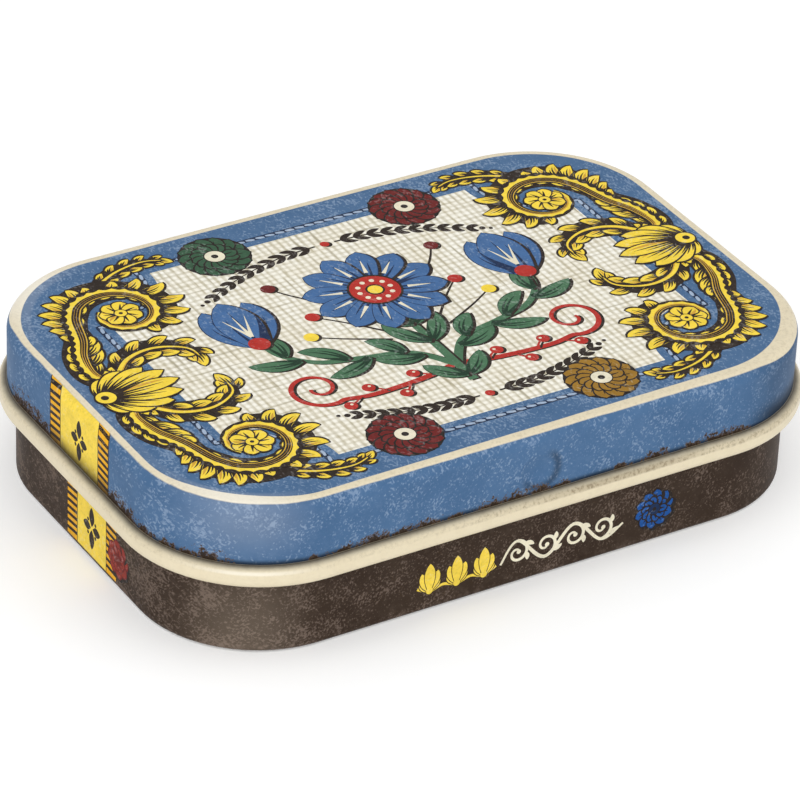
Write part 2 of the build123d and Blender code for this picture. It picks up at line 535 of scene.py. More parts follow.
def away(point, angle, distance):
    way = math.radians(angle)
    return (point[0] + math.cos(way) * distance, point[1] + math.sin(way) * distance)


def part(path, start, end, count=None):
    count = count or len(path) - 1
    return [pointAt(path, start + (end - start) * step / count) for step in range(count + 1)]


def evenly(path, count):
    lengths = [0.0]
    for one, two in zip(path, path[1:]):
        lengths.append(lengths[-1] + math.dist(one, two))
    made, spot = [], 0
    for step in range(count + 1):
        goal = lengths[-1] * step / count
        while spot < len(path) - 2 and lengths[spot + 1] < goal:
            spot += 1
        share = (goal - lengths[spot]) / max(lengths[spot + 1] - lengths[spot], 1e-9)
        made.append(tuple(a + (b - a) * share for a, b in zip(path[spot], path[spot + 1])))
    return made


def smoothPath(points, count):
    # An even run of points along a smooth line through a few given ones
    fine = []
    padded = [points[0], *points, points[-1]]
    for one, two, three, four in zip(padded, padded[1:], padded[2:], padded[3:]):
        for step in range(20):
            t = step / 20
            fine.append(tuple(0.5 * (2 * b + (c - a) * t + (2 * a - 5 * b + 4 * c - d) * t * t
                                     + (3 * b - a - 3 * c + d) * t**3)
                              for a, b, c, d in zip(one, two, three, four)))
    return evenly([*fine, tuple(points[-1])], count)


def sweep(start, angle, length, turn, count=12, ease=1.0):
    # A path that sets off at an angle and has turned by so many degrees at its end
    path = [tuple(start)]
    for step in range(count):
        path.append(away(path[-1], angle + turn * ((step + 0.5) / count) ** ease, length / count))
    return path


def spiral(centre, outer, inner, begin, turn, count, power=0.9):
    return [away(centre, begin + turn * step / count, outer + (inner - outer) * (step / count) ** power)
            for step in range(count + 1)]


def beside(path, amounts):
    made = []
    for spot, ((x, y), amount) in enumerate(zip(path, amounts)):
        before, after = path[max(spot - 1, 0)], path[min(spot + 1, len(path) - 1)]
        dx, dy = after[0] - before[0], after[1] - before[1]
        size = math.hypot(dx, dy) or 1.0
        made.append((x - dy / size * amount, y + dx / size * amount))
    return made


def valueAt(value, share):
    return value(share) if callable(value) else value


def taper(first, last):
    return lambda t: first + (last - first) * t


def swell(most, begin):
    return lambda t: most * math.sin(math.pi * (begin + 0.8 * t)) ** 0.5


class Print:
    # Inked shapes on one face of the tin. Each is a thin solid on the sheet, and a later one lies on top.
    drop = (0.2, -0.17)     # where a shape's own shadow is printed, in mm
    step = 0.0003           # from one ink to the next over it
    cell = 0.3              # of the grid that finds what lies under a shape
    sunk = -0.03            # how far a shape reaches into the sheet
    finest = 0.012          # the narrowest line

    def __init__(self, name, body, onFace, lift=0.004, lanes=1):
        self.name, self.body, self.onFace = name, body, onFace
        self.lift = lift        # the lowest ink over the sheet
        self.lanes = lanes      # more than one where the face bends across a shape
        self.flips = ((1, 1),)
        self.shapes, self.levels = {}, {}

    def fill(self, ink, left, right, shadow=None):
        # The shape between two lines of as many points, in each place where this print repeats it
        dropX, dropY = self.drop
        for flipX, flipY in self.flips:
            sides = [[(x * flipX, y * flipY) for x, y in side] for side in (left, right)]
            if shadow:
                self.lay(shadow, *[[(x + dropX, y + dropY) for x, y in side] for side in sides])
            self.lay(ink, *sides)

    def lay(self, ink, left, right):
        # The level is one more than the highest of what already lies under the shape
        cells = set()
        for corners in zip(left, left[1:], right, right[1:]):
            columns = [math.floor(x / self.cell) for x, y in corners]
            rows = [math.floor(y / self.cell) for x, y in corners]
            cells.update((column, row) for column in range(min(columns), max(columns) + 1)
                         for row in range(min(rows), max(rows) + 1))
        level = 1 + max(self.levels.get(cell, 0) for cell in cells)
        self.levels.update((cell, level) for cell in cells)
        self.shapes.setdefault(ink, []).append((level, left, right))

    def stroke(self, ink, path, width, shift=0.0, shadow=None):
        # A line whose width and shift to its left may change along it
        shares = [step / (len(path) - 1) for step in range(len(path))]
        halves = [max(valueAt(width, share), self.finest) / 2 for share in shares]
        shifts = [valueAt(shift, share) for share in shares]
        self.fill(ink, beside(path, [move + half for move, half in zip(shifts, halves)]),
                  beside(path, [move - half for move, half in zip(shifts, halves)]), shadow)

    def disc(self, ink, centre, radius, shadow=None):
        # Two half rings of points, from 5 to 175 degrees on each side
        ways = [5 + 17 * step for step in range(11)]
        sides = [[away(centre, way * sign, radius) for way in ways] for sign in (1, -1)]
        self.fill(ink, *sides, shadow)

    def solids(self, shapes):
        # Points and faces of the shapes in one ink: lanes over the sheet, and two lines sunk into it
        points, faces = [], []
        for level, left, right in shapes:
            start, count, height = len(points), len(left), self.lift + self.step * level
            rows = [([pointAt(ends, lane / self.lanes) for ends in zip(left, right)], height)
                    for lane in range(self.lanes + 1)]
            rows += [(right, self.sunk), (left, self.sunk)]
            for side, rise in rows:
                points += [self.onFace(x, y, rise) * mm for x, y in side]
            lines = [range(start + count * row, start + count * (row + 1)) for row in range(len(rows))]
            for one, two in zip(lines, lines[1:] + lines[:1]):
                faces += [(a, b, d, c) for a, b, c, d in zip(one, two, one[1:], two[1:])]
            faces += [[line[0] for line in lines], [line[-1] for line in lines]]
        return points, faces

    def build(self):
        for ink, shapes in self.shapes.items():
            points, faces = self.solids(shapes)
            mesh = bpy.data.meshes.new(f"{self.name}_{ink}")
            mesh.from_pydata(points, [], faces)
            solid = bmesh.new()
            solid.from_mesh(mesh)
            bmesh.ops.recalc_face_normals(solid, faces=solid.faces)
            solid.to_mesh(mesh)
            solid.free()
            mesh.materials.append(inkFor(ink, self.body))
            piece = addObject(mesh.name, mesh)
            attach(piece, self.body)


def plump(share, root=0.5, peak=0.5):
    # A leaf's width along its length: it starts at the root's share, is widest at the peak and ends sharp
    if share < peak:
        return root + (1 - root) * math.sin(share / peak * math.pi / 2)
    return max(math.cos((share - peak) / (1 - peak) * math.pi / 2), 0.0) ** 0.7


leafLook = {"outline": 0.16, "veinRoot": 0.28, "veinTip": 0.02, "veinGap": 0.22}
straight = 0.01         # a turn that only says on which side the shade lies


def leaf(sheet, root, angle, length, width, turn, face="gold", line="dark", rootShare=0.5, peak=0.5,
         ease=1.4, veins=2, shade=0.5, shadow=None, outline=leafLook["outline"], tone=None):
    # One leaf or finger of foliage: outline, face, a shadow on its hollow side and engraved veins
    def shape(share):
        return width * plump(share, rootShare, peak)

    path = sweep(root, angle, length, turn, ease=ease)
    if outline:
        longer = sweep(root, angle, length + outline, turn, ease=ease)
        sheet.stroke(line, longer, lambda t: shape(t) + 2 * outline * (1 - t**8), shadow=shadow)
    sheet.stroke(face, path, shape, shadow=None if outline else shadow)
    hollow = 1 if turn > 0 else -1
    if tone:
        sheet.stroke(tone, part(path, 0.0, 0.85, 8), lambda t: 0.36 * shape(0.85 * t) * (1 - t) ** 0.5,
                     lambda t: hollow * 0.28 * shape(0.85 * t))
    if shade:
        sheet.stroke(line, part(path, 0.0, 0.6, 8), lambda t: width * shade * 0.9 * (1 - t) ** 1.1,
                     lambda t: hollow * shape(t * 0.6) * (0.5 - shade * 0.5 * (1 - t)))
    for number in range(veins):
        side, end = -hollow * (number * leafLook["veinGap"] - 0.02), 0.80 - 0.16 * number
        sheet.stroke(line, part(path, 0.04, end, 7),
                     lambda t: leafLook["veinTip"] + leafLook["veinRoot"] * (1 - t) ** 0.7,
                     lambda t: side * shape(0.04 + (end - 0.04) * t))


def leafOn(sheet, stem, at, spread, *sizes, **more):
    # A leaf that grows from a share of a stem's length, at an angle to it
    leaf(sheet, pointAt(stem, at), heading(stem, at) + spread, *sizes, **more)


def foliage(sheet, stem, start, end, number, side, length, width, spread, turn, **more):
    # A run of leaves along one side of a stem, largest in its middle
    for step in range(number):
        share = step / (number - 1)
        grow = math.sin(math.pi * (0.2 + 0.62 * share))
        leafOn(sheet, stem, start + (end - start) * share, side * spread, length * grow,
               width * (0.7 + 0.3 * grow), -side * turn, **more)


def scrollBand(sheet, path, width, lines, ribs=0):
    # A gold band with engraved lines, amber on one side
    sheet.stroke("dark", path, lambda t: width(t) + 2 * leafLook["outline"])
    sheet.stroke("gold", path, width)
    sheet.stroke("amber", part(path, 0.02, 0.97), lambda t: 0.4 * width(0.02 + 0.95 * t),
                 lambda t: 0.28 * width(0.02 + 0.95 * t))
    for number in range(lines):
        start, end = 0.03 + 0.05 * number, 0.93 - 0.12 * number
        sheet.stroke("dark", part(path, start, end), lambda t: 0.03 + 0.15 * math.sin(t * math.pi) ** 0.7,
                     lambda t: (0.36 - number * 0.16) * width(start + (end - start) * t))
    # Shade on the other side, scalloped as if the band were ribbed
    if ribs:
        sheet.stroke("dark", part(path, 0.02, 0.95, 4 * len(path)),
                     lambda t: width(0.02 + 0.93 * t) * (0.12 + 0.34 * abs(math.sin(math.pi * ribs * t))),
                     lambda t: -0.5 * width(0.02 + 0.93 * t))


def flower(sheet, centre, radius, petals, face, line="dark", heart="gold", shadow=None, wide=0.85, rings=1,
           tone=None):
    # A round engraved flower seen from the front, in one or more rings of petals
    look = {"face": face, "line": line, "rootShare": 0.3, "peak": 0.66, "ease": 1.0, "veins": 1,
            "shade": 0.3, "outline": leafLook["outline"] * 0.8, "tone": tone}
    for ring in range(rings):
        size = radius * (1 - 0.34 * ring)
        for step in range(petals):
            angle = 12 + 360 * (step + 0.5 * ring) / petals
            leaf(sheet, away(centre, angle, 0.12 * size), angle - 8, size * 0.88, size * wide * 6 / petals,
                 20, shadow=None if ring else shadow, **look)
    sheet.disc(line, centre, radius * 0.28 + leafLook["outline"] * 0.6)
    sheet.disc(heart, centre, radius * 0.28)
    sheet.disc(line, centre, radius * 0.1)


# Top of the lid: a linen panel with scooped corners on the blue field
panelLook = {"halfLength": 21.4, "halfWidth": 15.1, "scoop": 6.6}
stitchLook = {"out": 0.95, "dash": 0.76, "gap": 0.16, "width": 0.50, "slant": 0.14}


def drawPanel(sheet):
    length, width, scoop = panelLook["halfLength"], panelLook["halfWidth"], panelLook["scoop"]

    def reach(x):
        into = scoop - length + abs(x)
        return width - math.sqrt(max(scoop**2 - (scoop - into) ** 2, 0.0)) if into > 0 else width

    steps = [length - scoop * math.cos(math.radians(6 * step)) for step in range(16)]
    stations = [-x for x in reversed(steps)] + steps
    sheet.fill("linen", [(x, reach(x)) for x in stations], [(x, -reach(x)) for x in stations])


def panelOutline(grow):
    # Once round the panel, moved out by grow
    length, width, arc = panelLook["halfLength"], panelLook["halfWidth"], panelLook["scoop"] - grow
    begin = -math.degrees(math.acos(grow / arc))
    end = -180 - math.degrees(math.asin(grow / arc))
    quarter = [away((length, width), begin + (end - begin) * step / 20, arc) for step in range(21)]
    path = []
    for flipX, flipY in ((1, 1), (-1, 1), (-1, -1), (1, -1)):
        run = quarter if flipX * flipY > 0 else quarter[::-1]
        path += [(x * flipX, y * flipY) for x, y in run]
    return path + path[:1]


def drawStitches(sheet):
    # A light thread sewn round the panel, each stitch with its dark side
    path, dash, gap = panelOutline(stitchLook["out"]), stitchLook["dash"], stitchLook["gap"]
    total = sum(math.dist(one, two) for one, two in zip(path, path[1:]))
    number = round(total / (dash + gap))
    fine = evenly(path, number * 10)
    sheet.stroke("threadShade", fine, stitchLook["width"])
    for step in range(number):
        piece = part(fine[step * 10:step * 10 + 11], 0.0, dash / (dash + gap), 4)
        sheet.stroke("thread", piece, lambda t: stitchLook["width"] * (0.36 + 0.28 * math.sin(math.pi * t)),
                     lambda t: stitchLook["slant"] * (0.9 - t))


# Gold foliage scroll for each corner, given for the back right one
scrollLook = {
    "eye": (19.8, 10.6),
    "outer": 4.2,
    "inner": 1.65,
    "lead": [(24.6, 1.2), (26.0, 3.2), (25.7, 6.0), (24.6, 8.4)],       # from the fan to the curl
    # Each big leaf: the line that its spine follows, and its size
    "bigLeaves": (([(20.2, 14.6), (17.4, 16.3), (14.6, 16.9), (12.6, 16.3)], 1.75),
                  ([(24.6, 2.0), (22.6, 4.2), (20.0, 4.8), (17.6, 3.6), (17.3, 1.6)], 2.5)),
    "lobes": 6,
    "bandWidth": 1.1,
    "ribs": 30,
    "rosette": 1.75,
}
gilt = {"tone": "amber", "veins": 3, "shade": 0.95}


def bigLeaf(sheet, spine, size):
    # Lobes on both sides of a spine, overlapping from its tip to its root, and one at the tip
    lobes = scrollLook["lobes"]
    sheet.stroke("dark", part(spine, 0.0, 0.9), lambda t: size * 1.2 * plump(t, 0.5, 0.45))
    leaf(sheet, pointAt(spine, 0.86), heading(spine, 0.9), size * 0.95, size * 0.42, 25, **gilt)
    for step in range(lobes):
        at = 0.84 - 0.82 * step / (lobes - 1)
        grow = size * (0.42 + 0.58 * math.sin(math.pi * min(1.0, 0.12 + at * 0.88)) ** 0.8)
        for side in (1, -1):
            leafOn(sheet, spine, at, side * 52, grow, 0.40 * grow, -side * 55,
                   ease=1.5, rootShare=0.6, **gilt)
    scrollBand(sheet, part(spine, 0.0, 0.94), lambda t: 0.24 * size * (1 - t) ** 0.6 + 0.06, 1)


def drawCornerScroll(sheet):
    eye = scrollLook["eye"]
    curl = spiral(eye, scrollLook["outer"], scrollLook["inner"], -10, 402, 60)
    lead = smoothPath([*scrollLook["lead"], *curl[3:10:4]], 30)
    stem = evenly(lead[:-3] + curl[7:], 84)
    for points, size in scrollLook["bigLeaves"]:
        bigLeaf(sheet, smoothPath(points, 24), size)
    # Dark ground under each run of leaves, then the leaves
    sheet.stroke("dark", part(stem, 0.0, 0.36), swell(3.0, 0.15))
    foliage(sheet, stem, 0.03, 0.24, 5, 1, 3.4, 1.15, 58, 70, **gilt)
    foliage(sheet, stem, 0.03, 0.24, 6, -1, 1.9, 0.85, 50, 60, **gilt)
    sheet.stroke("dark", part(stem, 0.27, 0.66), swell(3.4, 0.1), -0.3)
    sheet.stroke("dark", part(stem, 0.56, 0.82), swell(2.6, 0.1), -0.6)
    foliage(sheet, stem, 0.26, 0.50, 8, -1, 3.0, 1.12, 40, -58, ease=1.7, **gilt)
    foliage(sheet, stem, 0.56, 0.80, 7, -1, 3.2, 1.12, 42, -65, ease=1.7, **gilt)
    foliage(sheet, stem, 0.28, 0.68, 8, 1, 2.2, 0.85, 50, 70, **gilt)

    def width(share):
        bulge = math.sin(math.pi * min(1, share * 1.02)) ** 0.7
        return (0.4 + scrollLook["bandWidth"] * bulge) * (1 - 0.3 * share)

    scrollBand(sheet, stem, width, 3, scrollLook["ribs"])
    flower(sheet, eye, scrollLook["rosette"], 7, "gold", tone="amber")


def drawPalmette(sheet):
    # The fan of leaves between two corner scrolls
    for angle in (84, -84, 62, -62, 40, -40, 20, -20, 0):
        length = 2.6 + 3.9 * math.cos(math.radians(angle)) ** 1.2
        leaf(sheet, (26.9, 0), 180 + angle * 0.98, length, 1.5, -angle * 0.5,
             rootShare=0.3, peak=0.66, ease=1.0, **{**gilt, "shade": 0.6})
    sheet.disc("dark", (26.7, 0), 0.95)
    sheet.disc("gold", (26.7, 0), 0.82)
    sheet.disc("dark", (26.8, 0), 0.32)


# Round engraved flowers over the panel's long edges
medallions = {
    "radius": 3.0,
    "petals": 14,
    "places": (((-8.9, 15.0), "pine"), ((8.9, 15.0), "maroon"),
               ((-8.9, -15.0), "maroon"), ((8.9, -15.0), "ochre")),
}


def drawMedallions(sheet):
    radius, petals = medallions["radius"], medallions["petals"]
    for centre, ink in medallions["places"]:
        sheet.disc("black", centre, radius + 0.05)
        flower(sheet, centre, radius, petals, ink, "black", "cream", wide=1.15, rings=2)


# Folk bouquet on the panel: the right half, printed twice, and the flower in the middle
bouquet = {
    "garlands": ([(0.9, 12.7), (4.4, 12.4), (8.6, 11.2), (12.2, 9.4)],
                 [(0.9, -12.9), (4.4, -12.8), (7.6, -12.1), (10.8, -10.9)]),
    "tendril": [(0.3, -8.0), (3.0, -8.6), (6.4, -8.9), (8.6, -8.9)],
    "curlMiddle": (11.6, -6.2),
    "berries": ((0.10, 1), (0.19, -1), (0.28, 1), (0.38, -1)),      # share of the way along, and side
    "sideStem": [(0.1, -8.0), (2.4, -5.0), (6.2, -3.9), (9.6, -2.9), (11.8, -0.6), (12.2, 1.8)],
    "sideLeaves": ((0.16, -1, 4.2), (0.25, 1, 3.6), (0.42, -1, 4.6), (0.52, 1, 4.2), (0.74, -1, 4.4),
                   (0.82, 1, 3.6)),
    "tulip": (12.3, 1.6),
    "buds": (("red", [(2.2, -1.6), (4.6, 1.2), (6.6, 3.2)]),
             ("gold", [(2.6, -2.6), (6.0, -0.8), (8.2, 0.6)]),
             ("maroon", [(5.0, 5.0), (6.6, 7.0), (7.6, 8.6)])),
    "stemFoot": (0, -10.6),
    "stemLeaves": ((-9.8, 62, 3.8), (-4.2, 50, 4.6), (-1.4, 55, 4.4)),      # height, spread and length
    "flower": (0, 4.6),
    "petals": 12,
}
plain = {"rootShare": 0.25, "peak": 0.45, "ease": 1.0, "veins": 0, "shade": 0, "outline": 0}
greenLeaf = {"face": "green", "line": "forest", "rootShare": 0.25, "peak": 0.45, "ease": 1.0, "veins": 2,
             "shade": 0.4, "outline": 0.07, "shadow": "dark"}
petal = {"face": "blue", "line": "navy", "rootShare": 0.5, "ease": 1.0, "veins": 2, "shade": 0.34,
         "outline": 0.07, "shadow": "dark"}


def drawGarlands(sheet):
    for points in bouquet["garlands"]:
        arch = smoothPath(points, 40)
        sheet.stroke("dark", arch, taper(0.2, 0.08))
        for step in range(10):
            at = (step + 0.5) / 10
            for side in (1, -1):
                leafOn(sheet, arch, at, side * 42, 1.4 * (1.1 - 0.3 * at), 0.55, -side * 35, "dark", **plain)
        sheet.disc("red", (0.0, points[0][1]), 0.4, "dark")
        for out, radius in ((0.7, 0.26), (1.4, 0.18)):
            sheet.disc("dark", away(arch[-1], heading(arch, 1.0), out), radius)


def drawTendrils(sheet):
    # Red curls with berries, low on each side
    curl = spiral(bouquet["curlMiddle"], 2.7, 0.5, 230, 500, 40, 1.0)
    curl = smoothPath([*bouquet["tendril"], *curl[1:]], 90)
    sheet.stroke("red", curl, taper(0.62, 0.3), shadow="dark")
    for at, side in bouquet["berries"]:
        stalk = sweep(pointAt(curl, at), heading(curl, at) + side * 60, 1.5, side * -30, 8)
        sheet.stroke("red", stalk, 0.2, shadow="dark")
        sheet.disc("red", stalk[-1], 0.55, "dark")
        sheet.disc("cream", (stalk[-1][0] - 0.15, stalk[-1][1] + 0.15), 0.13)


def drawSideStem(sheet):
    # Green stem with leaves up to a blue tulip
    stem = smoothPath(bouquet["sideStem"], 50)
    sheet.stroke("green", stem, taper(0.75, 0.5), shadow="dark")
    for at, side, length in bouquet["sideLeaves"]:
        leafOn(sheet, stem, at, side * 52, length, 1.5, -side * 45, **greenLeaf)
    root = bouquet["tulip"]
    for angle, turn in ((132, -52), (48, 52)):
        leaf(sheet, root, angle, 6.6, 2.6, turn, **petal)
    leaf(sheet, root, 90, 6.8, 3.6, straight, **petal)
    for angle in (72, 90, 108):
        sheet.stroke("cream", sweep(away(root, 90, 1.2), angle, 3.2, 0, 6), taper(0.34, 0.04))
    sheet.disc("red", root, 0.9, "dark")


def drawBuds(sheet):
    # Small buds on thin dark stems between the large flowers
    for ink, points in bouquet["buds"]:
        stalk = smoothPath(points, 14)
        sheet.stroke("dark", stalk, taper(0.26, 0.16))
        sheet.disc(ink, stalk[-1], 0.62, "dark")


def drawMiddleFlower(sheet):
    # Twelve blue petals round a red heart, on a straight stem with leaves
    stem = sweep(bouquet["stemFoot"], 90, 12.6, 0)
    sheet.stroke("green", stem, taper(0.8, 0.6), shadow="dark")
    for low, spread, length in bouquet["stemLeaves"]:
        for side in (1, -1):
            leaf(sheet, (0, low), 90 - side * spread, length, 1.5, side * 38, **greenLeaf)
    centre, number = bouquet["flower"], bouquet["petals"]
    petals = [360 * (step + 0.5) / number for step in range(number)]
    for angle in petals:
        leaf(sheet, away(centre, angle, 1.2), angle, 4.8, 2.4, straight,
             **{**petal, "rootShare": 0.4, "peak": 0.66})
    for angle in petals:
        sheet.stroke("cream", sweep(away(centre, angle, 2.7), angle, 1.9, 0, 6), taper(0.35, 0.05))
    sheet.disc("dark", centre, 2.3)
    sheet.disc("red", centre, 2.1)
    for step in range(10):
        sheet.disc("cream", away(centre, 36 * step, 1.4), 0.22)
    sheet.disc("dark", centre, 0.8)
    sheet.disc("gold", centre, 0.62)


def drawTop(sheet):
    drawPanel(sheet)
    drawStitches(sheet)
    sheet.flips = ((-1, 1), (1, 1))
    for draw in (drawGarlands, drawBuds, drawTendrils, drawSideStem):
        draw(sheet)
    sheet.flips = ((1, 1),)
    drawMiddleFlower(sheet)
    drawMedallions(sheet)
    sheet.flips = ((1, 1), (-1, 1), (1, -1), (-1, -1))
    drawCornerScroll(sheet)
    sheet.flips = ((1, 1), (-1, 1))
    drawPalmette(sheet)


# Yellow ribbon down a short side of lid and base. Across is to the right as seen from outside, in mm.
ribbonLook = {
    "border": 1.75,
    "pitch": 0.64,
    "slant": 0.14,
    "tick": 0.31,
    "margin": 0.06,         # what the ticks keep clear of at each end
    "motif": ((90, 1.75), (-90, 1.75), (0, 1.2), (180, 1.2)),       # angle and length of each leaf
    "rows": 48,
}


def drawRibbon(sheet, low, high, left, right, motif, size=1.0):
    border, slant, margin = ribbonLook["border"], ribbonLook["slant"], ribbonLook["margin"]
    rungs = [low + (high - low) * step / ribbonLook["rows"] for step in range(ribbonLook["rows"] + 1)]
    sheet.fill("yellow", [(left, v) for v in rungs], [(right, v) for v in rungs])
    for outer, inner in ((left, left + border), (right, right - border)):
        sheet.fill("orange", [(outer, v) for v in rungs], [(inner, v) for v in rungs])
        into = 1 if inner > outer else -1
        spot = low - slant
        while spot < high - 0.05:
            ends = [(outer, spot), (inner, spot + slant)]
            line = [pointAt(ends, step / 6) for step in range(7)]
            line = [(u, v) for u, v in line if low + margin < v < high - margin]
            if len(line) > 2:
                sheet.stroke("dark", line, ribbonLook["tick"])
            spot += ribbonLook["pitch"]
        sheet.stroke("dark", [(outer + into * 0.06, v) for v in rungs], 0.12)
        sheet.stroke("dark", [(inner, v) for v in rungs], 0.09)
    middle = ((left + right) / 2, motif)
    for angle, length in ribbonLook["motif"]:
        leaf(sheet, away(middle, angle, 0.18), angle, length * size, 0.85 * size, straight, "dark",
             **{**plain, "rootShare": 0.1})
    for angle in (45, 135, 225, 315):
        sheet.disc("dark", away(middle, angle, 0.85 * size), 0.16)


# Border on the front of the base: yellow sprigs to the left, a running cream scroll, then a flower
frontLook = {
    "middle": 2.9,
    "sprigs": (-8.8, -6.35, -3.9),
    "sprigLeaves": ((152, 1.35, 0.6), (28, 1.35, 0.6), (125, 1.9, 0.78), (55, 1.9, 0.78), (90, 2.5, 0.95)),
    "garland": ((-9.9, 0.5), (-8.8, 0.0), (-7.6, 0.3), (-6.35, 0.0), (-5.1, 0.3), (-3.9, 0.0), (-2.8, 0.5)),
    "scrolls": (-0.9, 1.7, 4.3, 6.9),
    "reach": 1.12,
    "flower": ((11.8, 3.1), 1.8, 10),       # its middle, radius and petals
}


def drawSprigs(sheet):
    foot = frontLook["middle"] - 1.1
    garland = [(x, foot + rise) for x, rise in frontLook["garland"]]
    sheet.stroke("yellow", smoothPath(garland, 40), 0.24)
    for x in frontLook["sprigs"]:
        root = (x, foot + 0.05)
        for angle, length, width in frontLook["sprigLeaves"]:
            leaf(sheet, root, angle, length, width, (angle - 90) * -0.7 or straight, "yellow", "dark",
                 **{**plain, "rootShare": 0.3, "peak": 0.55, "outline": 0.07})
        sheet.disc("yellow", root, 0.3)


def drawRunningScroll(sheet):
    middle, reach, scrolls = frontLook["middle"], frontLook["reach"], frontLook["scrolls"]
    ways = [1 if number % 2 else -1 for number in range(len(scrolls))]
    crests = [(x, middle - reach * way) for x, way in zip(scrolls, ways)]
    wave = smoothPath([(-2.4, middle - 0.7), *crests, (8.9, middle - 0.2)], 70)
    sheet.stroke("cream", wave, lambda t: 0.2 + 0.12 * math.sin(math.pi * t))
    for x, way in zip(scrolls, ways):
        curl = spiral((x, middle), reach, 0.16, -90 * way, 430 * way, 34)
        sheet.stroke("cream", curl, taper(0.3, 0.18))
        sheet.disc("cream", curl[-1], 0.2)
        for at, spread, size in ((0.10, -50, 0.95), (0.24, -55, 0.75)):
            leafOn(sheet, curl, at, spread * way, size, 0.42, 40 * way, "cream", **plain)


# The inks, as read on a screen
inkTones = {
    "gold": (253, 221, 72),
    "amber": (216, 168, 62),
    "yellow": (251, 219, 83),
    "dark": (50, 41, 35),
    "black": (44, 38, 35),
    "blue": (72, 110, 160),
    "royal": (32, 84, 156),
    "navy": (32, 50, 84),
    "forest": (36, 62, 46),
    "green": (78, 118, 88),
    "red": (186, 52, 44),
    "maroon": (112, 38, 36),
    "ochre": (158, 118, 44),
    "cream": (240, 232, 206),
    "thread": (166, 184, 208),
    "threadShade": (38, 52, 78),
    "orange": (240, 177, 38),
    "pine": (58, 92, 68),
    "brick": (146, 52, 44),
}
inkWear = {
    "deep": 0.88,           # an ink's darkest tone, as a share of its full one
    "pale": 222,            # what a fleck fades towards, and how far
    "faded": 0.5,
    "flecks": 0.55,         # how strongly the flecks show
    "fewer": -0.03,         # how many fewer there are than on the ground
    "creaseShade": (2.1, -0.1),    # heights from the lid's crease between which painted shade darkens the ink
    "creaseShadeStray": 0.5,
    "creaseShadeShows": 0.95,
}


def paintInk(name, body):
    # A printed ink with its own wear, and painted shade over the lid's crease
    paint = Paint(f"{name}On{body.title()}")
    place = paint.place()
    tone, pale, faded = inkTones[name], inkWear["pale"], inkWear["faded"]
    full = colour(*tone)
    deep = colour(*[value * inkWear["deep"] for value in tone])
    worn = colour(*[value + (pale - value) * faded for value in tone])
    grain = paint.noise(place, 4.2, 3.0, 0.7).fade(0.46, 0.70)
    base = paint.mix(slowChange(paint, place, 0.9) * 0.5 + grain * 0.5, full, deep)
    flecks = wornFlecks(paint, place, inkWear["fewer"])
    base = paint.mix(flecks * inkWear["flecks"], base, worn)
    if body == "lid":
        x, y, z = paint.split(place)
        stray = (paint.noise(place, 1.5, 4.0, 0.7) - 0.5) * inkWear["creaseShadeStray"]
        creaseShade = (z - tin["curlTop"] + stray).fade(*inkWear["creaseShade"]) ** 1.6
        base = paint.mix(creaseShade * inkWear["creaseShadeShows"], base, ground["creaseShade"])
    dull = ground["rough"] + ground["wornRough"] * flecks
    return paint.finish({"Base Color": base, "Roughness": dull}, flecks * ground["wornRelief"])


linen = {
    "light": colour(252, 250, 240),
    "dark": colour(246, 241, 226),
    "thread": colour(178, 168, 138),
    "slub": colour(140, 131, 104),
    "pitch": 0.61,          # between two threads, in mm
    "waver": 0.36,          # how far a thread strays
    "run": 5.0,             # how slowly a thread changes along its length, and how fast across it
    "across": 0.5,
    "ways": (1.0, 0.62),    # how dark the gaps are between threads that run back, and that run along
    "gaps": 0.9,
    "slubs": 0.6,
    "pressed": -0.5,        # relief of the gaps
}


def paintLinen():
    # Printed plain weave: rows of pale bumps, with the dark between them uneven and stronger one way
    paint = Paint("linenPrint")
    place = paint.place()
    x, y, z = paint.split(place)
    tone = paint.mix(slowChange(paint, place, 0.35), linen["light"], linen["dark"])
    cells = paint.noise(place, 1.9, 2.0, 0.6).fade(0.3, 0.7)
    weave = None
    stretches = ((linen["across"], linen["run"], 1.0), (linen["run"], linen["across"], 1.0))
    for along, stretch, depth in zip((x, y), stretches, linen["ways"]):
        strand = paint.turned(place, (0, 0, 0), stretch)
        stray = paint.noise(strand, 1.0, 3.0, 0.6) * linen["waver"]
        ridge = abs(((along + stray) / linen["pitch"]).fraction() - 0.5)
        patch = paint.turned(strand, (0, 0, 0), (0.9, 0.8, 1.0))
        uneven = paint.noise(patch, 1.2, 3.0, 0.6).fade(0.32, 0.68)
        gaps = ridge.fade(0.08, 0.48) * (0.30 + 0.34 * uneven + 0.36 * cells) * depth
        thick = paint.noise(strand, 0.9, 2.0, 0.5).fade(0.57, 0.70)
        slubs = thick * ridge.fade(0.2, 0.45) * depth
        weave = gaps if weave is None else weave.most(gaps) + weave * gaps * 0.35
        tone = paint.mix(gaps * linen["gaps"], tone, linen["thread"])
        tone = paint.mix(slubs * linen["slubs"], tone, linen["slub"])
    return paint.finish({"Base Color": tone, "Roughness": 0.5 + 0.1 * weave}, weave * linen["pressed"])


mixedInks = {}


def inkFor(name, body):
    # Each ink is mixed once for each body that it is printed on
    if (name, body) not in mixedInks:
        mixedInks[name, body] = paintLinen() if name == "linen" else paintInk(name, body)
    return mixedInks[name, body]


